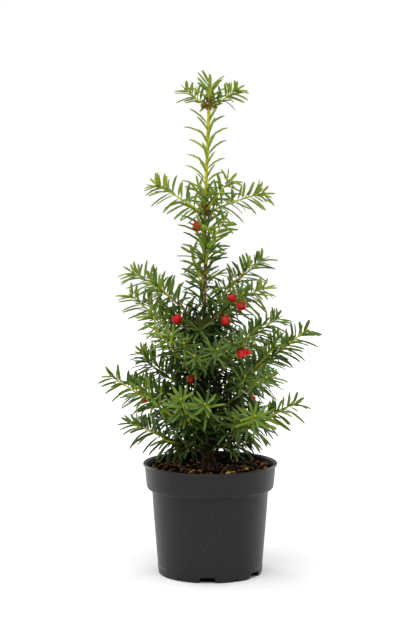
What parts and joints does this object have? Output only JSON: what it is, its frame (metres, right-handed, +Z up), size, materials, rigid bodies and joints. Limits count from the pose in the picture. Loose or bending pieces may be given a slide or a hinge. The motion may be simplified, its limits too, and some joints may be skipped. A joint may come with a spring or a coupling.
{
  "type": "potted english yew",
  "caption": "Young upright English yew with a clear leader, rising needled shoots and a few red arils, growing in a round dark nursery pot.",
  "frame": {"origin": "centre of the pot's flat underside, on the pot's axis", "axes": "+Z up along the stem, -Y towards the front, +X to the right seen from the front"},
  "size_m": [0.2042, 0.1743, 0.486],
  "materials": {
    "pot": "matte",
    "soil": "matte",
    "bark": "matte",
    "young_bark": "matte",
    "young_needles": "satin",
    "needles": "satin",
    "inner_needles": "satin"
  },
  "bodies": {
    "root": {"back_left_foliage": "needles", "back_mid_bough": "young_bark", "back_mid_foliage": "needles", "back_right_foliage": "needles", "front_high_foliage": "needles", "front_left_bough": "young_bark", "front_left_foliage": "inner_needles", "front_low_foliage": "inner_needles", "front_right_bough": "young_bark", "front_right_foliage": "inner_needles", "inner_left_foliage": "inner_needles", "leader_foliage": "young_needles", "leader_tip_foliage": "young_needles", "left_front_bough": "young_bark", "left_front_foliage": "needles", "long_left_bough": "young_bark", "long_left_foliage": "needles", "long_right_bough": "young_bark", "long_right_foliage": "needles", "low_back_left_bough": "young_bark", "low_back_left_foliage": "inner_needles", "low_back_right_bough": "young_bark", "low_back_right_foliage": "inner_needles", "low_left_bough": "young_bark", "low_left_foliage": "inner_needles", "low_right_bough": "young_bark", "low_right_foliage": "inner_needles", "mid_back_left_foliage": "needles", "mid_back_right_bough": "young_bark", "mid_back_right_foliage": "needles", "mid_left_bough": "young_bark", "mid_left_foliage": "needles", "mid_right_bough": "young_bark", "mid_right_foliage": "needles", "mid_right_inner_bough": "young_bark", "mid_right_inner_foliage": "needles", "pot": "pot", "right_front_bough": "young_bark", "right_front_foliage": "needles", "right_front_high_bough": "young_bark", "right_front_high_foliage": "needles", "shoulder_back_foliage": "needles", "shoulder_left_bough": "young_bark", "shoulder_left_foliage": "needles", "shoulder_right_bough": "young_bark", "shoulder_right_foliage": "needles", "soil": "soil", "top_back_foliage": "young_needles", "top_left_foliage": "young_needles", "top_right_foliage": "young_needles", "trunk": "bark", "upper_back_foliage": "young_needles", "upper_back_left_foliage": "needles", "upper_back_right_foliage": "needles", "upper_front_foliage": "needles", "upper_left_foliage": "young_needles", "upper_right_foliage": "young_needles", "upper_right_inner_foliage": "young_needles", "upper_stem_foliage": "needles"}
  },
  "joints": []
}
